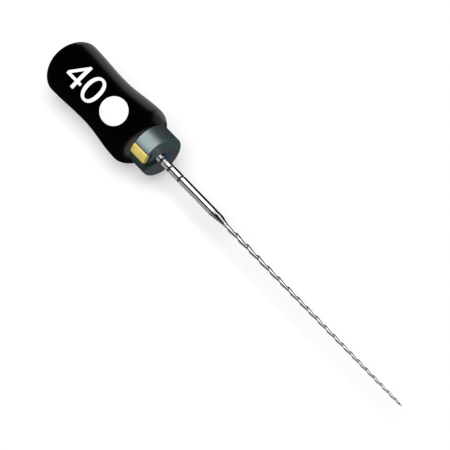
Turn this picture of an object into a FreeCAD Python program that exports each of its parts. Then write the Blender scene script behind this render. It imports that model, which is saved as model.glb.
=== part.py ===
import FreeCAD, Part
import math
import os

# Hand file for root canals, lying on its handle.
# +X runs along the shaft to the tip and +Z is up. Millimetres.
# The origin is under the middle of the whole length, on the surface it lies on.

os.makedirs("parts", exist_ok=True)

# ---- driving dimensions ----------------------------------------------------

FILE_LENGTH = 25.0        # handle front face to tip
HANDLE_LENGTH = 9.10

FRONT_RADIUS = 1.20       # flat face the stop rests on
BULGE_RADIUS = 2.12       # widest ring, just behind the front face
BULGE_BACK = 0.95         # distances behind the front face
WAIST_RADIUS = 1.84
WAIST_BACK = 4.50
REAR_RADIUS = 1.96
REAR_BACK = 7.80

SHANK_RADIUS = 0.280
TAPER_START = 18.05       # distances from the tip
TAPER_END = 16.90
TAPER_END_RADIUS = 0.150
DEPTH_MARKS = (23.30, 22.49, 21.46)
MARKED_FROM = 23.50       # the marked stretch starts just in front of the stop
MARKED_TO = 21.27
MARK_WIDTH = 0.16
MARK_DEPTH = 0.045

FLUTE_RADIUS_TIP = 0.095
FLUTE_RADIUS_SHANK = 0.185
FLUTE_CORE = 0.50         # core radius over edge radius
FLUTE_TURNS = 19.87
FLUTE_SPREAD = 0.83       # how much longer the last pitch is than the first, as a share
FLUTE_START = 0.70        # where the cutting edge starts at the tip, in turns
TIP_LENGTH = 0.25

TANG_ROUND = 2.2          # round part of the tang inside the handle
TANG_DEPTH = 7.0
TANG_WIDTH = 0.84
TANG_THICKNESS = 0.30

STOP_RADIUS = 1.525
STOP_LENGTH = 1.43
STOP_GAP = 0.02           # to the handle's front face
STOP_EDGE = 0.08
STOP_OFFSET = 0.10        # its hole is pierced this far off the middle
STOP_OFFSET_ANGLE = -66.0  # from +Z towards -Y
BORE_RADIUS = 0.305
BORE_MOUTH = 0.45
BORE_MOUTH_DEPTH = 0.14

MARKER_WIDTH = 0.67
MARKER_FLOOR = 1.20       # distances from the stop's own middle
MARKER_TOP = 1.56
MARKER_BEVEL = 0.05
MARKER_LENGTH = 1.32
MARKER_INSET = 0.04       # from the stop's back face
MARKER_ANGLE = 59.6       # from +Z towards -Y

PRINT_ANGLE = 25.3        # from +Z towards -Y
PRINT_SLANT = 27.0        # the print is laid on from this much in front of square to the axis
PRINT_SUNK = 0.05
PRINT_PROUD = 0.015
DOT_BACK = 2.27
DOT_SIZE = 1.91
ZERO_BACK = 4.53
ZERO_WIDTH = 1.25
ZERO_HEIGHT = 1.90
ZERO_SIDE = 0.275
ZERO_TOP = 0.203
FOUR_BACK = 6.10
FOUR_WIDTH = 1.28
FOUR_HEIGHT = 1.85
FOUR_STEM_LEFT = 0.795    # sizes within the digit, from its left end and its foot
FOUR_STEM = 0.265
FOUR_BAR_LOW = 0.46
FOUR_BAR = 0.205
FOUR_PEAK = 0.17          # flat top of the digit
FOUR_SLOPE_WIDTH = 0.26   # sloping stroke, measured along the bar

X_TIP = (FILE_LENGTH + HANDLE_LENGTH) / 2
X_FRONT = X_TIP - FILE_LENGTH
X_REAR = X_FRONT - HANDLE_LENGTH
AXIS_HEIGHT = BULGE_RADIUS

V = FreeCAD.Vector
AXIS = V(1, 0, 0)
ORIGIN = V(0, 0, 0)


# ---- helpers ---------------------------------------------------------------

def save(shape, name):
    """Every piece is drawn about the X axis and lifted to its height here."""
    placed = shape.copy()
    placed.translate(V(0, 0, AXIS_HEIGHT))
    placed.exportStep("parts/" + name + ".step")


def rod(radius, x0, x1):
    return Part.makeCylinder(radius, x1 - x0, V(x0, 0, 0), AXIS)


def cone(radius0, radius1, x0, x1):
    return Part.makeCone(radius0, radius1, x1 - x0, V(x0, 0, 0), AXIS)


def turned(edges):
    """A closed outline in the XZ plane, turned about the axis."""
    face = Part.Face(Part.Wire(edges))
    return face.revolve(ORIGIN, AXIS, 360)


def spline(points):
    curve = Part.BSplineCurve()
    curve.interpolate(points)
    return curve.toShape()


def facing(angle, along, side, out):
    """A point given along the axis, sideways and outwards at an angle from +Z towards -Y."""
    a = math.radians(angle)
    y = side * math.cos(a) - out * math.sin(a)
    z = side * math.sin(a) + out * math.cos(a)
    return V(along, y, z)


def outward(angle):
    a = math.radians(angle)
    return V(0, -math.sin(a), math.cos(a))


# ---- handle ----------------------------------------------------------------

def handle_radius(back):
    """Outside radius of the handle at a distance behind its front face."""
    if back < BULGE_BACK:
        t = (BULGE_BACK - back) / BULGE_BACK
        return FRONT_RADIUS + (BULGE_RADIUS - FRONT_RADIUS) * (1 - t ** 1.8) ** (1 / 1.8)
    if back < WAIST_BACK:
        t = (back - BULGE_BACK) / (WAIST_BACK - BULGE_BACK)
        blend = (0.5 + 0.5 * math.cos(math.pi * t)) ** 1.12
        return WAIST_RADIUS + (BULGE_RADIUS - WAIST_RADIUS) * blend
    if back < REAR_BACK:
        t = (back - WAIST_BACK) / (REAR_BACK - WAIST_BACK)
        return REAR_RADIUS - (REAR_RADIUS - WAIST_RADIUS) * (0.5 + 0.5 * math.cos(math.pi * t))
    t = min((back - REAR_BACK) / (HANDLE_LENGTH - REAR_BACK), 1.0)
    return REAR_RADIUS * (1 - t ** 1.8) ** (1 / 1.8)


def handle_stations():
    """Distances behind the front face, closer together where the outline turns."""
    shoulder = [BULGE_BACK * (1 - math.cos(math.radians(a))) for a in range(0, 90, 15)]
    body_steps = 14
    body_length = REAR_BACK - BULGE_BACK
    body = [BULGE_BACK + body_length * i / body_steps for i in range(body_steps)]
    end_length = HANDLE_LENGTH - REAR_BACK
    end = [REAR_BACK + end_length * math.sin(math.radians(a)) for a in range(0, 91, 10)]
    return shoulder + body + end


def handle_body():
    points = [V(X_FRONT - b, 0, handle_radius(b)) for b in handle_stations()]
    outside = spline(points)
    front = Part.makeLine(V(X_FRONT, 0, 0), points[0])
    middle = Part.makeLine(points[-1], V(X_FRONT, 0, 0))
    return turned([front, outside, middle])


def handle_layer(offset, back0, back1):
    """The handle's shape grown by an offset, between two distances behind the front."""
    steps = 16
    backs = [back0 + (back1 - back0) * i / steps for i in range(steps + 1)]
    points = [V(X_FRONT - b, 0, handle_radius(b) + offset) for b in backs]
    foot0 = V(X_FRONT - back0, 0, 0)
    foot1 = V(X_FRONT - back1, 0, 0)
    edges = [
        Part.makeLine(foot0, points[0]),
        spline(points),
        Part.makeLine(points[-1], foot1),
        Part.makeLine(foot1, foot0),
    ]
    return turned(edges)


# ---- shaft -----------------------------------------------------------------

def tang():
    """Flattened end with two bites on each edge, so the moulded handle can't turn or pull off."""
    blade = Part.makeBox(
        TANG_DEPTH - TANG_ROUND + 0.3,
        TANG_WIDTH,
        TANG_THICKNESS,
        V(X_FRONT - TANG_DEPTH, -TANG_WIDTH / 2, -TANG_THICKNESS / 2),
    )
    for back in (3.9, 5.5):
        for side in (-1, 1):
            bite = Part.makeCylinder(
                0.30,
                2.0,
                V(X_FRONT - back, side * (TANG_WIDTH / 2 + 0.15), -1.0),
                V(0, 0, 1),
            )
            blade = blade.cut(bite)
    return blade


def flute_turns(back):
    """Turns of the cutting edge from the tip; the turns lie closer together at the tip."""
    t = back / TAPER_END
    share = math.log(1 + FLUTE_SPREAD * t) / math.log(1 + FLUTE_SPREAD)
    return FLUTE_START + FLUTE_TURNS * share


def flute_edge_radius(back):
    t = back / TAPER_END
    return FLUTE_RADIUS_TIP + (FLUTE_RADIUS_SHANK - FLUTE_RADIUS_TIP) * t


def tooth(phase):
    """Height of the helical tooth: a slow rise towards the handle, then a steep drop."""
    t = phase - math.floor(phase)
    rise = 0.78
    if t < rise:
        return t / rise
    return 0.5 + 0.5 * math.cos(math.pi * (t - rise) / (1 - rise))


def flute_radius(back, angle):
    edge = flute_edge_radius(back)
    core = edge * FLUTE_CORE
    height = tooth(flute_turns(back) + angle / (2 * math.pi))
    ends = min((back - TIP_LENGTH) / 0.25, (TAPER_END - back) / 0.35, 1.0)
    blunt = max(ends, 0.0)
    return core + (edge - core) * (height * blunt + 0.45 * (1 - blunt))


def fluted_part():
    """One helical cutting edge on a tapered core: a smooth skin closed by two flat ends."""
    around = 28
    along = 340
    grid = []
    for i in range(along):
        back = TIP_LENGTH + (TAPER_END + 0.30 - TIP_LENGTH) * i / (along - 1)
        ring = []
        for j in range(around):
            angle = 2 * math.pi * j / around
            r = flute_radius(min(back, TAPER_END), angle)
            ring.append(V(X_TIP - back, r * math.cos(angle), r * math.sin(angle)))
        grid.append(ring)
    surface = Part.BSplineSurface()
    surface.buildFromPolesMultsKnots(
        grid,
        [4] + [1] * (along - 4) + [4],
        [1] * (around + 1),
        list(range(along - 2)),
        list(range(around + 1)),
        False,
        True,
        3,
        3,
    )
    skin = surface.toShape()
    rings = [e for e in skin.Edges if e.BoundBox.XLength < 1e-6]
    ends = [Part.Face(Part.Wire([e])) for e in rings]
    shell = Part.makeShell([skin] + ends)
    shell.sewShape()
    return Part.Solid(shell.Shells[0])


def marked_stretch():
    """The part of the shank with the depth marks, which are shallow grooves with soft edges."""
    half = MARK_WIDTH / 2
    lip = [(half + 0.07, 0), (half + 0.04, 0), (half + 0.01, 0), (half - 0.02, MARK_DEPTH)]
    x0 = X_TIP - MARKED_FROM
    x1 = X_TIP - MARKED_TO
    poles = [(x0, 0), (x0 + 0.02, 0)]
    for mark in DEPTH_MARKS:
        middle = X_TIP - mark
        poles += [(middle - side, depth) for side, depth in lip]
        poles += [(middle, MARK_DEPTH)]
        poles += [(middle + side, depth) for side, depth in reversed(lip)]
    poles += [(x1 - 0.02, 0), (x1, 0)]
    points = [V(x, 0, SHANK_RADIUS - depth) for x, depth in poles]
    outside = Part.BSplineCurve()
    outside.buildFromPoles(points)
    foot0 = V(x0, 0, 0)
    foot1 = V(x1, 0, 0)
    edges = [
        Part.makeLine(foot0, points[0]),
        outside.toShape(),
        Part.makeLine(points[-1], foot1),
        Part.makeLine(foot1, foot0),
    ]
    return turned(edges)


def file_blade():
    x_taper = X_TIP - TAPER_START
    shaft = rod(SHANK_RADIUS, X_FRONT - TANG_ROUND, X_TIP - MARKED_FROM)
    shaft = shaft.fuse(marked_stretch())
    shaft = shaft.fuse(rod(SHANK_RADIUS, X_TIP - MARKED_TO, x_taper))
    taper = cone(SHANK_RADIUS, TAPER_END_RADIUS, x_taper, X_TIP - TAPER_END)
    tip = cone(0.062, 0.012, X_TIP - TIP_LENGTH - 0.05, X_TIP)
    shaft = shaft.fuse(taper)
    shaft = shaft.fuse(tang())
    shaft = shaft.fuse(fluted_part())
    shaft = shaft.fuse(tip)
    return shaft.removeSplitter()


# ---- stop ------------------------------------------------------------------

def off_middle(shape):
    """The stop is drawn about the axis and then moved, because its hole isn't in its middle."""
    moved = shape.copy()
    moved.translate(outward(STOP_OFFSET_ANGLE) * STOP_OFFSET)
    return moved


def marker_bar(grow):
    """The bar that shows which way the file points; grown a little past the ends for its notch."""
    x0 = X_FRONT + STOP_GAP + MARKER_INSET - grow
    length = MARKER_LENGTH + 2 * grow
    half = MARKER_WIDTH / 2
    top = MARKER_TOP
    bevel = MARKER_BEVEL
    outline = [
        (-half, MARKER_FLOOR),
        (half, MARKER_FLOOR),
        (half, top - bevel),
        (half - bevel, top),
        (bevel - half, top),
        (-half, top - bevel),
    ]
    points = [facing(MARKER_ANGLE, x0, side, out) for side, out in outline]
    face = Part.Face(Part.makePolygon(points + [points[0]]))
    return off_middle(face.extrude(V(length, 0, 0)))


def stop_disc():
    back = X_FRONT + STOP_GAP
    front = back + STOP_LENGTH
    disc = rod(STOP_RADIUS, back, front)
    rims = [e for e in disc.Edges if abs(e.Length - 2 * math.pi * STOP_RADIUS) < 0.01]
    disc = off_middle(disc.makeFillet(STOP_EDGE, rims))
    disc = disc.cut(rod(BORE_RADIUS, back - 1, front + 1))
    slope = (BORE_MOUTH - BORE_RADIUS) / BORE_MOUTH_DEPTH
    reach = 0.2
    mouth = cone(
        BORE_RADIUS,
        BORE_MOUTH + slope * reach,
        front - BORE_MOUTH_DEPTH,
        front + reach,
    )
    disc = disc.cut(mouth)
    return disc.cut(marker_bar(0.5))


# ---- print -----------------------------------------------------------------

def print_directions():
    """Along the print, across it, and the direction that it is laid on from."""
    slant = math.radians(PRINT_SLANT)
    out = outward(PRINT_ANGLE)
    along = AXIS * math.cos(slant) - out * math.sin(slant)
    look = AXIS * math.sin(slant) + out * math.cos(slant)
    return along, look.cross(along), look


def print_point(back, u, v):
    """A point of a print's flat outline, held above the place on the handle where it goes."""
    along, across, look = print_directions()
    spot = AXIS * (X_FRONT - back) + outward(PRINT_ANGLE) * handle_radius(back)
    return spot + along * u + across * v + look * 1.3


def inlay(face):
    """Turns a flat outline above the handle into a thin piece that follows the handle's curve."""
    look = print_directions()[2]
    column = face.extrude(look * -2.4)
    outer = handle_layer(PRINT_PROUD, 1.1, 7.6)
    inner = handle_layer(-PRINT_SUNK, 1.0, 7.7)
    return column.common(outer).cut(inner)


def oval(back, half_length, half_width, power):
    """A closed smooth ring above the handle, squarer than an ellipse for a power above 2."""
    points = []
    for i in range(32):
        a = 2 * math.pi * i / 32
        c = math.cos(a)
        s = math.sin(a)
        u = half_length * math.copysign(abs(c) ** (2 / power), c)
        v = half_width * math.copysign(abs(s) ** (2 / power), s)
        points.append(print_point(back, u, v))
    curve = Part.BSplineCurve()
    curve.interpolate(points, True)
    return Part.Wire([curve.toShape()])


def size_dot():
    return inlay(Part.Face(oval(DOT_BACK, DOT_SIZE / 2, DOT_SIZE / 2, 2.0)))


def size_digit_0():
    outer = Part.Face(oval(ZERO_BACK, ZERO_WIDTH / 2, ZERO_HEIGHT / 2, 2.2))
    inner = Part.Face(
        oval(ZERO_BACK, ZERO_WIDTH / 2 - ZERO_SIDE, ZERO_HEIGHT / 2 - ZERO_TOP, 2.2)
    )
    return inlay(outer.cut(inner).Faces[0])


def size_digit_4():
    bar0 = FOUR_BAR_LOW
    bar1 = bar0 + FOUR_BAR
    stem0 = FOUR_STEM_LEFT
    stem1 = stem0 + FOUR_STEM
    peak = stem1 - FOUR_PEAK
    rise = (FOUR_HEIGHT - bar1) / peak
    outline = [
        (0, bar0),
        (stem0, bar0),
        (stem0, 0),
        (stem1, 0),
        (stem1, bar0),
        (FOUR_WIDTH, bar0),
        (FOUR_WIDTH, bar1),
        (stem1, bar1),
        (stem1, FOUR_HEIGHT),
        (peak, FOUR_HEIGHT),
        (0, bar1),
    ]
    window = [
        (FOUR_SLOPE_WIDTH, bar1),
        (stem0, bar1),
        (stem0, bar1 + (stem0 - FOUR_SLOPE_WIDTH) * rise),
    ]

    def flat(corners):
        points = [
            print_point(FOUR_BACK, p - FOUR_WIDTH / 2, q - FOUR_HEIGHT / 2) for p, q in corners
        ]
        return Part.Face(Part.makePolygon(points + [points[0]]))

    return inlay(flat(outline).cut(flat(window)).Faces[0])


# ---- the pieces ------------------------------------------------------------

blade = file_blade()
prints = {
    "size_digit_4": size_digit_4(),
    "size_digit_0": size_digit_0(),
    "size_dot": size_dot(),
}
grip = handle_body()
core = rod(SHANK_RADIUS, X_FRONT - TANG_ROUND, X_FRONT + 1).fuse(tang())
grip = grip.cut(core)
for piece in prints.values():
    grip = grip.cut(piece)

save(grip, "handle")
save(blade, "file_blade")
save(stop_disc(), "stop_disc")
save(marker_bar(0.0), "stop_marker")
for name, piece in prints.items():
    save(piece, name)
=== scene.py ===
import math

import bmesh
import bpy
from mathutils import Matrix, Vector


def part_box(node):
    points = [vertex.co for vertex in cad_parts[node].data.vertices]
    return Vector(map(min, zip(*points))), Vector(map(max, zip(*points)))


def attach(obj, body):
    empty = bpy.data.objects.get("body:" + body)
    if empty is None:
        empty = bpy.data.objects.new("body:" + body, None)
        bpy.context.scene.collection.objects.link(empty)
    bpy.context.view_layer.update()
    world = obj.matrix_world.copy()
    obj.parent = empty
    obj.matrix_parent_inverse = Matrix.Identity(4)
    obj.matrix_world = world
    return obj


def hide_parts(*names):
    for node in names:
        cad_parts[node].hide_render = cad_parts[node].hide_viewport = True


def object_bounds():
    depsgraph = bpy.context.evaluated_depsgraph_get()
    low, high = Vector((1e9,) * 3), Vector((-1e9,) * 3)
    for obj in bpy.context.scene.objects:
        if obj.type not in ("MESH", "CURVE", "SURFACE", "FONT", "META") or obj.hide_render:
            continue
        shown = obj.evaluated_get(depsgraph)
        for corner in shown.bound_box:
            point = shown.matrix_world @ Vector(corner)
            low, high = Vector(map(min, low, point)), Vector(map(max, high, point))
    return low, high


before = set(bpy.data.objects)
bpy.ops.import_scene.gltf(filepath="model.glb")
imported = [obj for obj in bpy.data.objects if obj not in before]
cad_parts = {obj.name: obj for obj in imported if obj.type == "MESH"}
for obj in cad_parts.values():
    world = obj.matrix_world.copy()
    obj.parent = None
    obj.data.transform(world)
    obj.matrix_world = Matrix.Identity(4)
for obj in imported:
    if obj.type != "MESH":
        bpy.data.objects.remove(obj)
cad_low, cad_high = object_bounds()

# Lengths below are in millimetres, and become metres where a mesh is made.
MM = 0.001
TAU = 2 * math.pi

blade_low, blade_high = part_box("file_blade")
handle_low, handle_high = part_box("handle")
stop_low, stop_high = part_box("stop_disc")

X_TIP = blade_high.x / MM
X_FRONT = handle_high.x / MM
X_REAR = handle_low.x / MM
AXIS_Z = (blade_low.z + blade_high.z) / 2 / MM
STOP_BACK = stop_low.x / MM
STOP_FRONT = stop_high.x / MM
HANDLE_LENGTH = X_FRONT - X_REAR


# ---- mesh helpers ----------------------------------------------------------

def make_object(name, verts, faces, material, sharp_degrees=35.0):
    mesh = bpy.data.meshes.new(name)
    mesh.from_pydata([tuple(c * MM for c in v) for v in verts], [], faces)
    mesh.validate()
    bm = bmesh.new()
    bm.from_mesh(mesh)
    bmesh.ops.recalc_face_normals(bm, faces=bm.faces)
    bm.to_mesh(mesh)
    bm.free()
    mesh.shade_smooth()
    mesh.set_sharp_from_angle(angle=math.radians(sharp_degrees))
    obj = bpy.data.objects.new(name, mesh)
    bpy.context.scene.collection.objects.link(obj)
    obj.data.materials.append(material)
    return obj


def loft(rings, close_start=True, close_end=True):
    """Rings of as many points each, joined into a closed skin."""
    count = len(rings[0])
    verts = [p for ring in rings for p in ring]
    faces = []
    for i in range(len(rings) - 1):
        a, b = i * count, (i + 1) * count
        for j in range(count):
            k = (j + 1) % count
            faces.append((a + j, a + k, b + k, b + j))
    for closed, first in ((close_start, 0), (close_end, (len(rings) - 1) * count)):
        if closed:
            ring = verts[first:first + count]
            verts.append(tuple(sum(p[i] for p in ring) / count for i in range(3)))
            for j in range(count):
                faces.append((len(verts) - 1, first + j, first + (j + 1) % count))
    return verts, faces


def circle(x, radius, count):
    return [
        (x, radius * math.cos(TAU * j / count), AXIS_Z + radius * math.sin(TAU * j / count))
        for j in range(count)
    ]


def oval(half_length, half_width, power, count=112):
    """An ellipse at a power of 2, and squarer above that."""
    points = []
    for i in range(count):
        a = TAU * i / count
        c, s = math.cos(a), math.sin(a)
        points.append((
            half_length * math.copysign(abs(c) ** (2 / power), c),
            half_width * math.copysign(abs(s) ** (2 / power), s),
        ))
    return points


def facing(angle, along, side, out):
    """A point given along the axis, sideways and outwards at an angle from +Z towards -Y."""
    a = math.radians(angle)
    return (
        along,
        side * math.cos(a) - out * math.sin(a),
        AXIS_Z + side * math.sin(a) + out * math.cos(a),
    )


# ---- handle ----------------------------------------------------------------

FRONT_RADIUS = 1.20
BULGE_RADIUS = 2.12
BULGE_BACK = 0.95
WAIST_RADIUS = 1.84
WAIST_BACK = 4.50
REAR_RADIUS = 1.96
REAR_BACK = 7.80
ROUND_POWER = 1.8
WAIST_POWER = 1.12

# the socket inside the handle, which the shaft's tang sits in
SOCKET_DEPTH = 7.06
SOCKET_RADIUS = 0.44
SOCKET_NECK = 2.10
SOCKET_NECK_RADIUS = 0.287
SOCKET_STEP = 0.10
MOUTH_RADIUS = 0.32
MOUTH_DEPTH = 0.03


def handle_radius(back):
    """Outside radius of the handle at a distance behind its front face."""
    if back < BULGE_BACK:
        t = (BULGE_BACK - back) / BULGE_BACK
        return FRONT_RADIUS + (BULGE_RADIUS - FRONT_RADIUS) * (1 - t ** ROUND_POWER) ** (1 / ROUND_POWER)
    if back < WAIST_BACK:
        t = (back - BULGE_BACK) / (WAIST_BACK - BULGE_BACK)
        blend = (0.5 + 0.5 * math.cos(math.pi * t)) ** WAIST_POWER
        return WAIST_RADIUS + (BULGE_RADIUS - WAIST_RADIUS) * blend
    if back < REAR_BACK:
        t = (back - WAIST_BACK) / (REAR_BACK - WAIST_BACK)
        return REAR_RADIUS - (REAR_RADIUS - WAIST_RADIUS) * (0.5 + 0.5 * math.cos(math.pi * t))
    t = min((back - REAR_BACK) / (HANDLE_LENGTH - REAR_BACK), 1.0)
    return REAR_RADIUS * (1 - t ** ROUND_POWER) ** (1 / ROUND_POWER)


def build_handle(material):
    count = 192
    socket = (
        (SOCKET_DEPTH, SOCKET_RADIUS),
        (SOCKET_NECK + SOCKET_STEP, SOCKET_RADIUS),
        (SOCKET_NECK, SOCKET_NECK_RADIUS),
        (MOUTH_DEPTH, SOCKET_NECK_RADIUS),
        (0.0, MOUTH_RADIUS),
    )
    front_face = ((0.0, 0.75), (0.0, FRONT_RADIUS - 0.035), (0.006, FRONT_RADIUS - 0.008))
    rings = [circle(X_FRONT - back, radius, count) for back, radius in socket + front_face]
    shoulder = 26
    for i in range(1, shoulder):
        back = BULGE_BACK * (1 - math.cos(math.pi / 2 * i / shoulder))
        rings.append(circle(X_FRONT - back, handle_radius(back), count))
    body = 84
    for i in range(body):
        back = BULGE_BACK + (REAR_BACK - BULGE_BACK) * i / body
        rings.append(circle(X_FRONT - back, handle_radius(back), count))
    end = 40
    for i in range(end):
        back = REAR_BACK + (HANDLE_LENGTH - REAR_BACK) * math.sin(math.pi / 2 * i / end)
        rings.append(circle(X_FRONT - back, handle_radius(back), count))
    rings.append(circle(X_REAR, 0.02, count))
    verts, faces = loft(rings)
    return make_object("handle_grip", verts, faces, material)


# ---- shaft -----------------------------------------------------------------

FILE_LENGTH = X_TIP - X_FRONT

# distances along the shaft are measured back from the tip
SHANK_RADIUS = 0.280
NECK_START = 17.93
NECK_START_SHIFT = 0.37
NECK_END = 17.03
NECK_END_SHIFT = 0.13
NECK_SIDE = 203.8
NECK_POWER = 0.9
NECK_MIDDLE = 17.60
TAPER_END = 16.90
TAPER_END_RADIUS = 0.150
DEPTH_MARKS = (23.30, 22.49, 21.46)
MARK_WIDTH = 0.16
MARK_DEPTH = 0.045
FLUTE_RADIUS_TIP = 0.095
FLUTE_RADIUS_SHANK = 0.185
FLUTE_CORE = 0.50
FLUTE_TURNS = 19.87
FLUTE_SPREAD = 0.83
FLUTE_START = 0.70
TIP_LENGTH = 0.25
TIP_PROFILE = ((0.235, 0.060), (0.12, 0.034), (0.04, 0.018), (0.01, 0.012), (0.0, 0.005))

# distances along the tang are measured back from the handle's front face
TANG_ROUND = 2.2
TANG_DEPTH = 7.0
TANG_WIDTH = 0.84
TANG_THICKNESS = 0.30
BITES = (3.9, 5.5)
BITE_RADIUS = 0.30
BITE_OFFSET = 0.15


def flute_turns(back):
    """Turns of the helix up to a distance from the tip, with a pitch that grows on the way."""
    t = back / TAPER_END
    share = math.log(1 + FLUTE_SPREAD * t) / math.log(1 + FLUTE_SPREAD)
    return FLUTE_START + FLUTE_TURNS * share


def tooth(phase):
    """Height of the flutes at a phase: a long rise to the cutting edge and a short fall behind it."""
    t = phase - math.floor(phase)
    rise = 0.78
    if t < rise:
        return t / rise
    return 0.5 + 0.5 * math.cos(math.pi * (t - rise) / (1 - rise))


def flute_radius(back, angle):
    edge = FLUTE_RADIUS_TIP + (FLUTE_RADIUS_SHANK - FLUTE_RADIUS_TIP) * back / TAPER_END
    core = edge * FLUTE_CORE
    height = tooth(flute_turns(back) + angle / TAU)
    blunt = max(min((back - TIP_LENGTH) / 0.25, (TAPER_END - back) / 0.35, 1.0), 0.0)
    return core + (edge - core) * (height * blunt + 0.45 * (1 - blunt))


def flute_ring(back, count):
    ring = []
    for j in range(count):
        a = TAU * j / count
        radius = flute_radius(back, a)
        ring.append((X_TIP - back, radius * math.cos(a), AXIS_Z + radius * math.sin(a)))
    return ring


def shank_radius(back):
    """Plain shank with its shallow depth marks."""
    depth = 0.0
    for mark in DEPTH_MARKS:
        off = abs(back - mark) / (MARK_WIDTH / 2)
        depth = max(depth, MARK_DEPTH * (1 - min(off, 1.0) ** 4))
    return SHANK_RADIUS - depth


def neck_ring(back, count):
    """Section of the neck where the flutes run out, which narrows sooner on one side."""
    ring = []
    for j in range(count):
        a = TAU * j / count
        side = math.cos(a - math.radians(NECK_SIDE))
        start = NECK_START + NECK_START_SHIFT * side
        end = NECK_END + NECK_END_SHIFT * side
        t = max(0.0, min((start - back) / (start - end), 1.0))
        radius = SHANK_RADIUS + (TAPER_END_RADIUS - SHANK_RADIUS) * t ** NECK_POWER
        ring.append((X_TIP - back, radius * math.cos(a), AXIS_Z + radius * math.sin(a)))
    return ring


def tang_ring(x, count):
    """Cross-section of the flattened tang, with a bite at two places on each edge."""
    back = X_FRONT - x
    half = TANG_WIDTH / 2
    for bite in BITES:
        reach = BITE_RADIUS ** 2 - (back - bite) ** 2
        if reach > 0:
            half = min(half, TANG_WIDTH / 2 + BITE_OFFSET - math.sqrt(reach))
    outline = oval(half, TANG_THICKNESS / 2, 8, count)
    return [(x, y, AXIS_Z + z) for y, z in outline]


def build_shaft(material):
    count = 64
    rings = []
    steps = 96
    for i in range(steps + 1):
        back = TANG_DEPTH - (TANG_DEPTH - TANG_ROUND) * i / steps
        rings.append(tang_ring(X_FRONT - back, count))
    neck_start = NECK_START + NECK_START_SHIFT
    stations = {FILE_LENGTH + TANG_ROUND - 0.15, FILE_LENGTH + 1.0, FILE_LENGTH}
    for mark in DEPTH_MARKS:
        for i in range(-14, 15):
            stations.add(mark + MARK_WIDTH * 0.6 * i / 14)
    plain = 30
    for i in range(plain + 1):
        stations.add(FILE_LENGTH - (FILE_LENGTH - neck_start - 0.06) * i / plain)
    for back in sorted(stations, reverse=True):
        rings.append(circle(X_TIP - back, shank_radius(back), count))
    neck = 40
    for i in range(neck + 1):
        back = neck_start - (neck_start - TAPER_END) * i / neck
        rings.append(neck_ring(back, count))
    flutes = 1000
    first = TAPER_END - 0.02
    for i in range(flutes + 1):
        rings.append(flute_ring(first - (first - TIP_LENGTH) * i / flutes, count))
    for back, radius in TIP_PROFILE:
        rings.append(circle(X_TIP - back, radius, count))
    verts, faces = loft(rings)
    return make_object("steel_shaft", verts, faces, material, 50.0)


# ---- stop and its marker ---------------------------------------------------

STOP_RADIUS = 1.525
STOP_EDGE = 0.08
STOP_OFFSET = 0.10
STOP_OFFSET_ANGLE = -66.0
BORE_RADIUS = 0.305
BORE_MOUTH = 0.45
BORE_MOUTH_DEPTH = 0.14
MARKER_ANGLE = 59.6
MARKER_WIDTH = 0.67
MARKER_FLOOR = 1.20
MARKER_TOP = 1.56
MARKER_LENGTH = 1.32
MARKER_INSET = 0.04
MARKER_SOFT_EDGE = 0.045
MARKER_CORNER = 0.075
MARKER_LIFT = 0.005
NOTCH_GAP = 0.022
RIM_STEPS = 8


def on_stop(x, side, out):
    """A point on the stop, which sits a little off the shaft's axis."""
    x, y, z = facing(MARKER_ANGLE, x, side, out)
    a = math.radians(STOP_OFFSET_ANGLE)
    return x, y - STOP_OFFSET * math.sin(a), z + STOP_OFFSET * math.cos(a)


def stop_outline(x, inset):
    """The stop's outline at one station, with the marker's notch, moved inwards by an inset."""
    radius = STOP_RADIUS - inset
    half = MARKER_WIDTH / 2 + NOTCH_GAP + 0.35 * inset
    floor = MARKER_FLOOR - 0.35 * inset
    corner = math.asin(half / radius)
    lip = radius * math.cos(corner)
    points = []
    for i in range(221):
        a = corner + (TAU - 2 * corner) * i / 220
        points.append((radius * math.sin(a), radius * math.cos(a)))
    for i in range(1, 6):
        points.append((-half, lip + (floor - lip) * i / 5))
    for i in range(1, 8):
        points.append((-half + half * i / 4, floor))
    for i in range(5):
        points.append((half, floor + (lip - floor) * i / 5))
    return [on_stop(x, side, out) for side, out in points]


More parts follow.
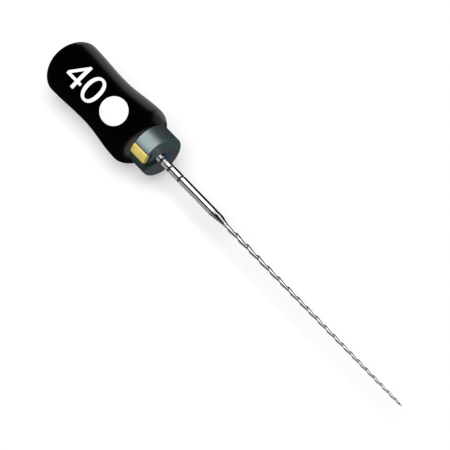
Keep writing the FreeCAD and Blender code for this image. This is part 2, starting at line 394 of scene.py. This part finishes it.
def build_stop(material):
    """The disc: back face, round rims, side, front face with the flared mouth, and the hole."""
    count = len(stop_outline(0.0, 0.0))
    notch = 1.1 * math.asin((MARKER_WIDTH / 2 + NOTCH_GAP) / STOP_RADIUS)
    angles = [notch + (TAU - 2 * notch) * i / 220 for i in range(221)]
    spare = count - len(angles)
    angles += [TAU - notch + 2 * notch * i / (spare + 1) for i in range(1, spare + 1)]

    def face_ring(x, radius, share):
        """A ring about a middle that lies between the hole's, at a share of 0, and the disc's, at 1."""
        ring = []
        for a in angles:
            hole = facing(MARKER_ANGLE, x, radius * math.sin(a), radius * math.cos(a))
            disc = on_stop(x, radius * math.sin(a), radius * math.cos(a))
            ring.append(tuple(h + (d - h) * share for h, d in zip(hole, disc)))
        return ring

    back = [
        face_ring(STOP_BACK + 0.02, BORE_RADIUS, 0),
        face_ring(STOP_BACK, BORE_RADIUS + 0.02, 0),
        face_ring(STOP_BACK, 0.7, 0.5),
        face_ring(STOP_BACK, 1.08, 1),
    ]
    turn = [math.pi / 2 * i / RIM_STEPS for i in range(RIM_STEPS + 1)]
    back_rim = [
        stop_outline(STOP_BACK + STOP_EDGE * (1 - math.cos(a)), STOP_EDGE * (1 - math.sin(a)))
        for a in turn
    ]
    plain = STOP_FRONT - STOP_BACK - 2 * STOP_EDGE
    side = [stop_outline(STOP_BACK + STOP_EDGE + plain * i / 12, 0.0) for i in range(1, 12)]
    front_rim = [
        stop_outline(STOP_FRONT - STOP_EDGE * (1 - math.sin(a)), STOP_EDGE * (1 - math.cos(a)))
        for a in turn
    ]
    mouth = [
        face_ring(STOP_FRONT, 1.08, 1),
        face_ring(STOP_FRONT, 0.80, 0.6),
        face_ring(STOP_FRONT, 0.56, 0),
        face_ring(STOP_FRONT - 0.004, BORE_MOUTH + 0.02, 0),
        face_ring(STOP_FRONT - 0.020, BORE_MOUTH - 0.005, 0),
        face_ring(STOP_FRONT - 0.070, 0.36, 0),
        face_ring(STOP_FRONT - BORE_MOUTH_DEPTH, BORE_RADIUS + 0.004, 0),
        face_ring(STOP_FRONT - 0.20, BORE_RADIUS, 0),
    ]
    rings = back + back_rim + side + front_rim + mouth
    verts, faces = loft(rings, False, False)
    last = (len(rings) - 1) * count
    for j in range(count):
        k = (j + 1) % count
        faces.append((last + j, last + k, k, j))
    return make_object("stop_ring", verts, faces, material, 50.0)


def marker_outline(x, inset):
    """A bar's section with a top that follows the stop's curve, and rounded corners."""
    half = MARKER_WIDTH / 2 - inset
    low = MARKER_FLOOR + MARKER_LIFT + inset
    top = MARKER_TOP - inset
    edge = MARKER_CORNER - inset
    sweep = math.asin((half - edge) / (top - edge))
    shoulder = (top - edge) * math.cos(sweep)
    right = [(top * math.sin(sweep * i / 7), top * math.cos(sweep * i / 7)) for i in range(8)]
    for i in range(1, 8):
        a = sweep + (math.pi / 2 - sweep) * i / 7
        right.append((half - edge + edge * math.sin(a), shoulder + edge * math.cos(a)))
    right += [(half, low + (shoulder - low) * t) for t in (0.7, 0.4, 0.0)]
    right += [(half * t, low) for t in (0.6, 0.2)]
    left = [(-side, out) for side, out in reversed(right[1:])]
    return [on_stop(x, side, out) for side, out in right + left]


def build_marker(material):
    soft = MARKER_SOFT_EDGE
    turn = [math.pi / 2 * i / RIM_STEPS for i in range(RIM_STEPS + 1)]
    plain = MARKER_LENGTH - 2 * soft
    rear = STOP_BACK + MARKER_INSET
    front = rear + MARKER_LENGTH
    rings = [marker_outline(rear + soft * (1 - math.cos(a)), soft * (1 - math.sin(a))) for a in turn]
    rings += [marker_outline(rear + soft + plain * i / 14, 0.0) for i in range(1, 14)]
    rings += [marker_outline(front - soft * (1 - math.sin(a)), soft * (1 - math.cos(a))) for a in turn]
    verts, faces = loft(rings)
    return make_object("direction_marker", verts, faces, material, 50.0)


# ---- print -----------------------------------------------------------------

PRINT_ANGLE = 25.3
PRINT_SLANT = 27.0
PRINT_PROUD = 0.015
PRINT_SUNK = 0.012
PRINT_SLOPE = 0.014
PRINT_GRID = 0.085
WELD = 1e-5
DOT_BACK = 2.27
DOT_SIZE = 1.91
ZERO_BACK = 4.53
ZERO_WIDTH = 1.25
ZERO_HEIGHT = 1.90
ZERO_SIDE = 0.275
ZERO_TOP = 0.203
FOUR_BACK = 6.10
FOUR_WIDTH = 1.28
FOUR_HEIGHT = 1.85
FOUR_STEM_LEFT = 0.795
FOUR_STEM = 0.265
FOUR_BAR_LOW = 0.46
FOUR_BAR = 0.205
FOUR_PEAK = 0.17
FOUR_SLOPE_WIDTH = 0.26


def on_handle(back, u, v, height):
    """Where a point of a print's flat outline lands when it is laid on at a slant from the front."""
    slant = math.radians(PRINT_SLANT)
    out_middle = handle_radius(back)
    lift = 0.0
    for _ in range(8):
        along = X_FRONT - back + u * math.cos(slant) + lift * math.sin(slant)
        out = out_middle - u * math.sin(slant) + lift * math.cos(slant)
        reach = handle_radius(X_FRONT - along) + height
        lift += (math.sqrt(reach * reach - v * v) - out) / math.cos(slant)
    return facing(PRINT_ANGLE, along, v, math.sqrt(reach * reach - v * v))


def softened(corners, radius, steps=4):
    """A polygon with its corners rounded."""
    points = []
    count = len(corners)
    for i, (x, y) in enumerate(corners):
        before, after = Vector(corners[i - 1]), Vector(corners[(i + 1) % count])
        here = Vector((x, y))
        a, b = (before - here), (after - here)
        reach = min(radius, a.length * 0.4, b.length * 0.4)
        p, q = here + a.normalized() * reach, here + b.normalized() * reach
        for k in range(steps + 1):
            t = k / steps
            points.append(tuple(p * (1 - t) ** 2 + here * 2 * t * (1 - t) + q * t ** 2))
    return points


def filled(loops):
    """A flat mesh inside the loops, cut on a grid fine enough to follow the handle's curve."""
    bm = bmesh.new()
    for loop in loops:
        verts = [bm.verts.new((x, y, 0)) for x, y in loop]
        for i in range(len(verts)):
            bm.edges.new((verts[i - 1], verts[i]))
    bmesh.ops.triangle_fill(bm, use_beauty=True, edges=bm.edges[:], normal=(0, 0, 1))
    xs = [v.co.x for v in bm.verts]
    ys = [v.co.y for v in bm.verts]
    for normal, values in ((Vector((1, 0, 0)), xs), (Vector((0, 1, 0)), ys)):
        low, high = min(values), max(values)
        for i in range(1, int((high - low) / PRINT_GRID) + 1):
            bmesh.ops.bisect_plane(
                bm,
                geom=bm.verts[:] + bm.edges[:] + bm.faces[:],
                plane_co=normal * (low + i * PRINT_GRID),
                plane_no=normal,
                dist=WELD,
            )
    bmesh.ops.remove_doubles(bm, verts=bm.verts[:], dist=WELD)
    bmesh.ops.recalc_face_normals(bm, faces=bm.faces[:])
    if bm.faces[0].normal.z < 0:
        bmesh.ops.reverse_faces(bm, faces=bm.faces[:])
    bm.verts.index_update()
    return bm


def border_of(bm):
    """The border's edges as pairs of points, and the way inwards at each of its points."""
    border = []
    inward = {}
    for e in bm.edges:
        if len(e.link_faces) != 1:
            continue
        loop = [l for l in e.link_faces[0].loops if l.edge == e][0]
        a, b = loop.vert, loop.link_loop_next.vert
        border.append((a.index, b.index))
        along = (b.co - a.co).normalized()
        left = Vector((-along.y, along.x, 0))
        for v in (a, b):
            inward[v.index] = inward.get(v.index, Vector((0, 0, 0))) + left
    return border, {i: direction.normalized() for i, direction in inward.items()}


def printed(name, back, loops, material):
    """A thin raised layer on the handle with the outline that the loops give."""
    bm = filled(loops)
    border, inward = border_of(bm)
    flat = [v.co.copy() for v in bm.verts]
    tops = [[v.index for v in f.verts] for f in bm.faces]
    bm.free()
    top, slope, foot, underside = (
        (PRINT_SLOPE, PRINT_PROUD),
        (PRINT_SLOPE * 0.35, PRINT_PROUD * 0.75),
        (0.0, 0.0),
        (0.0, -PRINT_SUNK),
    )
    count = len(flat)
    verts = []
    # the top layer, drawn in a little at its border, then the same points for the underside
    for inset, height in (top, underside):
        for i, p in enumerate(flat):
            q = p + inward[i] * inset if i in inward else p
            verts.append(on_handle(back, q.x, q.y, height))
    faces = [tuple(f) for f in tops] + [tuple(count + i for i in reversed(f)) for f in tops]
    # down the border, each point has a chain from the top layer to the underside
    chains = {i: [i] for i in sorted(inward)}
    for inset, height in (slope, foot):
        for i, chain in chains.items():
            q = flat[i] + inward[i] * inset
            chain.append(len(verts))
            verts.append(on_handle(back, q.x, q.y, height))
    for i, chain in chains.items():
        chain.append(count + i)
    for a, b in border:
        for k in range(len(chains[a]) - 1):
            faces.append((chains[b][k], chains[a][k], chains[a][k + 1], chains[b][k + 1]))
    return make_object(name, verts, faces, material, 40.0)


def build_prints(material):
    dot = printed("print_dot", DOT_BACK, [oval(DOT_SIZE / 2, DOT_SIZE / 2, 2.0)], material)
    half_width, half_height = ZERO_WIDTH / 2, ZERO_HEIGHT / 2
    rings = [
        oval(half_width, half_height, 2.2),
        oval(half_width - ZERO_SIDE, half_height - ZERO_TOP, 2.2),
    ]
    zero = printed("print_zero", ZERO_BACK, rings, material)
    w, h = FOUR_WIDTH, FOUR_HEIGHT
    bar0, bar1 = FOUR_BAR_LOW, FOUR_BAR_LOW + FOUR_BAR
    stem0, stem1 = FOUR_STEM_LEFT, FOUR_STEM_LEFT + FOUR_STEM
    peak = stem1 - FOUR_PEAK
    rise = (h - bar1) / peak
    outline = [
        (0, bar0), (stem0, bar0), (stem0, 0), (stem1, 0), (stem1, bar0), (w, bar0),
        (w, bar1), (stem1, bar1), (stem1, h), (peak, h), (0, bar1),
    ]
    window_top = bar1 + (stem0 - FOUR_SLOPE_WIDTH) * rise
    window = [(FOUR_SLOPE_WIDTH, bar1), (stem0, bar1), (stem0, window_top)]
    loops = [
        softened([(p - w / 2, q - h / 2) for p, q in outline], 0.035),
        softened([(p - w / 2, q - h / 2) for p, q in window], 0.02),
    ]
    return dot, zero, printed("print_four", FOUR_BACK, loops, material)


# ---- materials -------------------------------------------------------------

class Shader:
    """A node material around one Principled shader, with texture space in millimetres."""

    def __init__(self, name):
        self.material = bpy.data.materials.new(name)
        self.material.use_nodes = True
        self.nodes = self.material.node_tree.nodes
        self.links = self.material.node_tree.links
        self.shader = self.nodes["Principled BSDF"]
        self.space = self.nodes.new("ShaderNodeTexCoord").outputs["Object"]

    def fix(self, **values):
        for key, value in values.items():
            self.shader.inputs[key.replace("_", " ")].default_value = value

    def feed(self, key, output):
        self.links.new(output, self.shader.inputs[key])

    def stretched(self, x, y, z):
        node = self.nodes.new("ShaderNodeMapping")
        node.inputs["Scale"].default_value = (x / MM, y / MM, z / MM)
        self.links.new(self.space, node.inputs["Vector"])
        return node.outputs["Vector"]

    def noise(self, scale, detail=3.0, rough=0.55, stretch=(1, 1, 1), warp=0.0):
        node = self.nodes.new("ShaderNodeTexNoise")
        node.inputs["Scale"].default_value = scale
        node.inputs["Detail"].default_value = detail
        node.inputs["Roughness"].default_value = rough
        node.inputs["Distortion"].default_value = warp
        self.links.new(self.stretched(*stretch), node.inputs["Vector"])
        return node.outputs["Fac"]

    def ramp(self, value, *stops):
        node = self.nodes.new("ShaderNodeValToRGB")
        elements = node.color_ramp.elements
        while len(elements) < len(stops):
            elements.new(0.5)
        for element, (position, colour) in zip(elements, stops):
            element.position = position
            element.color = (*colour, 1.0) if isinstance(colour, tuple) else (*[colour] * 3, 1.0)
        self.links.new(value, node.inputs["Fac"])
        return node.outputs["Color"]

    def spread(self, value, low, high, from_low=0.0, from_high=1.0):
        node = self.nodes.new("ShaderNodeMapRange")
        node.inputs["From Min"].default_value = from_low
        node.inputs["From Max"].default_value = from_high
        node.inputs["To Min"].default_value = low
        node.inputs["To Max"].default_value = high
        self.links.new(value, node.inputs["Value"])
        return node.outputs["Result"]

    def combine(self, a, b, operation="ADD"):
        node = self.nodes.new("ShaderNodeMath")
        node.operation = operation
        for socket, value in zip(node.inputs, (a, b)):
            if isinstance(value, (int, float)):
                socket.default_value = value
            else:
                self.links.new(value, socket)
        return node.outputs["Value"]

    def mix(self, factor, a, b):
        node = self.nodes.new("ShaderNodeMix")
        node.data_type = "RGBA"
        self.links.new(factor, node.inputs["Factor"])
        colours = [socket for socket in node.inputs if socket.type == "RGBA"]
        for socket, value in zip(colours, (a, b)):
            if isinstance(value, tuple):
                socket.default_value = (*value, 1.0)
            else:
                self.links.new(value, socket)
        return [socket for socket in node.outputs if socket.type == "RGBA"][0]

    def place(self, axis):
        """One coordinate in millimetres."""
        split = self.nodes.new("ShaderNodeSeparateXYZ")
        self.links.new(self.stretched(1, 1, 1), split.inputs["Vector"])
        return split.outputs[axis]

    def away_from(self, back):
        """Distance along the shaft from a station that is given by its distance from the tip."""
        return self.combine(self.combine(self.place("X"), X_TIP - back, "SUBTRACT"), 0.0, "ABSOLUTE")

    def off_axis(self):
        """Distance from the object's long axis in millimetres."""
        side = self.place("Y")
        height = self.combine(self.place("Z"), AXIS_Z, "SUBTRACT")
        squares = [self.combine(value, value, "MULTIPLY") for value in (side, height)]
        return self.combine(self.combine(*squares), 0.5, "POWER")

    def bump(self, height, depth_mm, strength=1.0):
        node = self.nodes.new("ShaderNodeBump")
        node.inputs["Strength"].default_value = strength
        node.inputs["Distance"].default_value = depth_mm * MM
        self.links.new(height, node.inputs["Height"])
        self.links.new(node.outputs["Normal"], self.shader.inputs["Normal"])


def handle_plastic():
    s = Shader("handle_plastic")
    cloud = s.noise(0.9, 3.0)
    grain = s.noise(22.0, 2.0, 0.6)
    scuff = s.spread(s.noise(1.0, 5.0, 0.7, (9.0, 1.6, 1.6)), 0.0, 1.0, 0.66, 0.78)
    black = s.ramp(cloud, (0.3, (0.0014, 0.0014, 0.0016)), (0.75, (0.0024, 0.0024, 0.0027)))
    s.feed("Base Color", s.mix(s.combine(scuff, 0.5, "MULTIPLY"), black, (0.0065, 0.0065, 0.0070)))
    satin = s.combine(s.spread(grain, -0.03, 0.03, 0.3, 0.7), s.spread(cloud, 0.21, 0.26, 0.3, 0.7))
    s.feed("Roughness", s.combine(satin, s.spread(scuff, 0.0, 0.08)))
    s.bump(s.combine(grain, s.spread(cloud, 0.0, 1.5)), 0.0020, 0.5)
    s.fix(Specular_IOR_Level=0.5)
    return s.material


def blade_steel():
    s = Shader("blade_steel")
    rings = s.noise(1.0, 4.0, 0.65, (38.0, 0.8, 0.8))
    cloud = s.noise(1.3, 3.0)
    steel = s.ramp(cloud, (0.25, (0.72, 0.72, 0.72)), (0.75, (0.82, 0.82, 0.815)))
    marked = 0.0
    for mark in DEPTH_MARKS:
        line = s.spread(s.away_from(mark), 1.0, 0.0, MARK_WIDTH * 0.45, MARK_WIDTH * 0.72)
        marked = s.combine(marked, line, "MAXIMUM")
    # Painted shade: the steel's colour is darkened in the flute hollows, towards the core, and along the
    # neck where the flutes run out. This stands in for the dark reflections seen there.
    edge = s.spread(s.place("X"), FLUTE_RADIUS_SHANK, FLUTE_RADIUS_TIP, X_TIP - TAPER_END, X_TIP)
    flute_hollow_shade = s.spread(s.combine(s.off_axis(), edge, "DIVIDE"), 0.7, 0.0, 0.62, 0.90)
    neck = s.spread(s.away_from(NECK_MIDDLE), 1.0, 0.0, 0.48, 0.70)
    steel = s.mix(s.combine(flute_hollow_shade, neck, "MAXIMUM"), steel, (0.36, 0.36, 0.36))
    s.feed("Base Color", s.mix(marked, steel, (0.12, 0.12, 0.12)))
    ground = s.combine(s.spread(rings, 0.06, 0.12, 0.3, 0.7), s.spread(cloud, 0.0, 0.04, 0.3, 0.7))
    s.feed("Roughness", s.combine(ground, s.spread(marked, 0.0, 0.12)))
    s.bump(rings, 0.0006, 0.5)
    s.fix(Metallic=1.0)
    return s.material


def stop_silicone():
    s = Shader("stop_silicone")
    tint = s.noise(0.55, 2.0, 0.5, warp=0.4)
    grain = s.noise(26.0, 2.0)
    teal, plum, navy = (0.016, 0.029, 0.030), (0.027, 0.024, 0.028), (0.012, 0.022, 0.032)
    s.feed("Base Color", s.ramp(tint, (0.36, teal), (0.52, plum), (0.66, navy)))
    s.feed("Roughness", s.spread(grain, 0.36, 0.44, 0.3, 0.7))
    s.bump(grain, 0.0018, 0.35)
    s.fix(Specular_IOR_Level=1.0, Specular_Tint=(0.80, 1.0, 0.965, 1.0))
    return s.material


def marker_gold():
    s = Shader("marker_gold")
    grain = s.noise(24.0, 2.0)
    cloud = s.noise(1.6, 3.0)
    worn = s.spread(cloud, 0.0, 1.0, 0.35, 0.7)
    s.feed("Base Color", s.mix(worn, (0.74, 0.61, 0.19), (0.66, 0.50, 0.11)))
    s.feed("Roughness", s.spread(grain, 0.30, 0.42, 0.3, 0.7))
    s.bump(grain, 0.002, 0.4)
    s.fix(Metallic=0.2)
    return s.material


def print_white():
    s = Shader("print_white")
    grain = s.noise(30.0, 3.0)
    cloud = s.noise(2.5, 3.0)
    s.feed("Base Color", s.ramp(cloud, (0.3, (0.90, 0.90, 0.895)), (0.7, (0.96, 0.96, 0.96))))
    s.feed("Roughness", s.spread(grain, 0.40, 0.55, 0.3, 0.7))
    s.bump(grain, 0.0015, 0.3)
    return s.material


def floor_paper():
    s = Shader("floor_paper")
    s.feed("Base Color", s.ramp(s.noise(0.02, 2.0), (0.0, 0.895), (1.0, 0.905)))
    s.fix(Roughness=0.9, Specular_IOR_Level=0.0)
    return s.material


# ---- the pieces ------------------------------------------------------------

handle = build_handle(handle_plastic())
shaft = build_shaft(blade_steel())
stop = build_stop(stop_silicone())
marker = build_marker(marker_gold())
dot, zero, four = build_prints(print_white())

for piece, body, node, slot in (
    (handle, "file", "handle", "handle_plastic"),
    (shaft, "file", "file_blade", "blade_steel"),
    (dot, "file", "size_dot", "print_white"),
    (zero, "file", "size_digit_0", "print_white"),
    (four, "file", "size_digit_4", "print_white"),
    (stop, "stop", "stop_disc", "stop_silicone"),
    (marker, "stop", "stop_marker", "marker_gold"),
):
    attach(piece, body)
    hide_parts(node)


# ---- floor, light and camera -----------------------------------------------

# in metres
FLOOR_REACH = 3.0
FLOOR_GAP = 0.000002
CAMERA_DISTANCE = 0.2

floor_mesh = bpy.data.meshes.new("floor")
corners = [(x * FLOOR_REACH, y * FLOOR_REACH, 0) for x, y in ((-1, -1), (1, -1), (1, 1), (-1, 1))]
floor_mesh.from_pydata(corners, [], [(0, 1, 2, 3)])
floor = bpy.data.objects.new("floor", floor_mesh)
floor.location.z = min(cad_low.z, 0.0) - FLOOR_GAP
bpy.context.scene.collection.objects.link(floor)
floor_mesh.materials.append(floor_paper())
floor.visible_glossy = False


def group(name, *objects):
    collection = bpy.data.collections.new(name)
    for obj in objects:
        collection.objects.link(obj)
    return collection


def sun(name, angle, lean, width, strength, lit, shadows=None):
    """A broad soft light at an angle from +Z towards -Y, leaning towards +X by a share of its length.

    It lights the pieces in one list. Those in the other cast its shadows, or all do if there is no list.
    """
    data = bpy.data.lights.new(name, "SUN")
    data.angle = math.radians(width)
    data.energy = strength
    obj = bpy.data.objects.new(name, data)
    bpy.context.scene.collection.objects.link(obj)
    a = math.radians(angle)
    upright = math.sqrt(1 - lean * lean)
    direction = Vector((lean, -upright * math.sin(a), upright * math.cos(a)))
    obj.rotation_mode = "QUATERNION"
    obj.rotation_quaternion = direction.to_track_quat("Z", "Y")
    obj.light_linking.receiver_collection = group(name + "_lights", *lit)
    if shadows is not None:
        obj.light_linking.blocker_collection = group(name + "_shadows", *shadows)
    return obj


# Every piece has lights of its own, so that the black stays black and the steel stays bright.
prints = (dot, zero, four)
solid_pieces = (handle, shaft, stop, marker) + prints
sun("key", 10, 0.0, 58, 1.85, [floor])
sun("fill", 0, 0.0, 30, 1.72, [floor], [floor])
sun("print_key", 12, 0.0, 50, 3.5, prints)
sun("dome", -5, -0.45, 58, 0.6, [shaft], [handle])
sun("dome_behind_stop", -5, -0.45, 58, 0.9, [shaft], [handle, stop])
sun("bounce", 115, -0.78, 86, 0.577, [shaft], [shaft])
sun("stop_key", 20, -0.45, 66, 5.9, [stop])
sun("stop_face", -98, 0.90, 12, 6.4, [stop], solid_pieces).visible_glossy = False
sun("stop_rim", -30, 0.80, 50, 1.1, [stop]).visible_diffuse = False
sun("marker_key", 10, 0.0, 70, 4.5, [marker])
sun("side", -106, -0.40, 62, 0.42, [handle], solid_pieces)
sun("side_front", -104, 0.25, 56, 0.26, [handle], solid_pieces)
sun("front", 166, 0.88, 56, 0.60, [handle], [handle, shaft])
sun("far_steel", -66, 0.68, 60, 1.4, [shaft])
sun("low_steel", 86, 0.10, 36, 0.6, [shaft])

# White surroundings for the camera, and nearly none for the light and the reflections.
world = bpy.data.worlds.new("studio")
bpy.context.scene.world = world
world.use_nodes = True
nodes, links = world.node_tree.nodes, world.node_tree.links
background = nodes["Background"]
path = nodes.new("ShaderNodeLightPath")
level = nodes.new("ShaderNodeMapRange")
level.inputs["To Min"].default_value = 0.01
level.inputs["To Max"].default_value = 1.0
links.new(path.outputs["Is Camera Ray"], level.inputs["Value"])
links.new(level.outputs["Result"], background.inputs["Strength"])
background.inputs["Color"].default_value = (1, 1, 1, 1)

bpy.context.scene.view_settings.view_transform = "Standard"

camera_data = bpy.data.cameras.new("camera")
camera = bpy.data.objects.new("camera", camera_data)
bpy.context.scene.collection.objects.link(camera)
bpy.context.scene.camera = camera
camera_data.sensor_width = 36.0
camera_data.lens = 256.78
camera_data.clip_start = 0.01
camera_data.clip_end = 10.0
azimuth = math.radians(51.6)
elevation = math.radians(54.7)
back = Vector((
    math.sin(azimuth) * math.cos(elevation),
    -math.cos(azimuth) * math.cos(elevation),
    math.sin(elevation),
))
aim = Vector((0.04, -0.026, AXIS_Z - 0.0112)) * MM
camera.location = aim + back * CAMERA_DISTANCE
camera.rotation_mode = "QUATERNION"
camera.rotation_quaternion = (-back).to_track_quat("-Z", "Y")
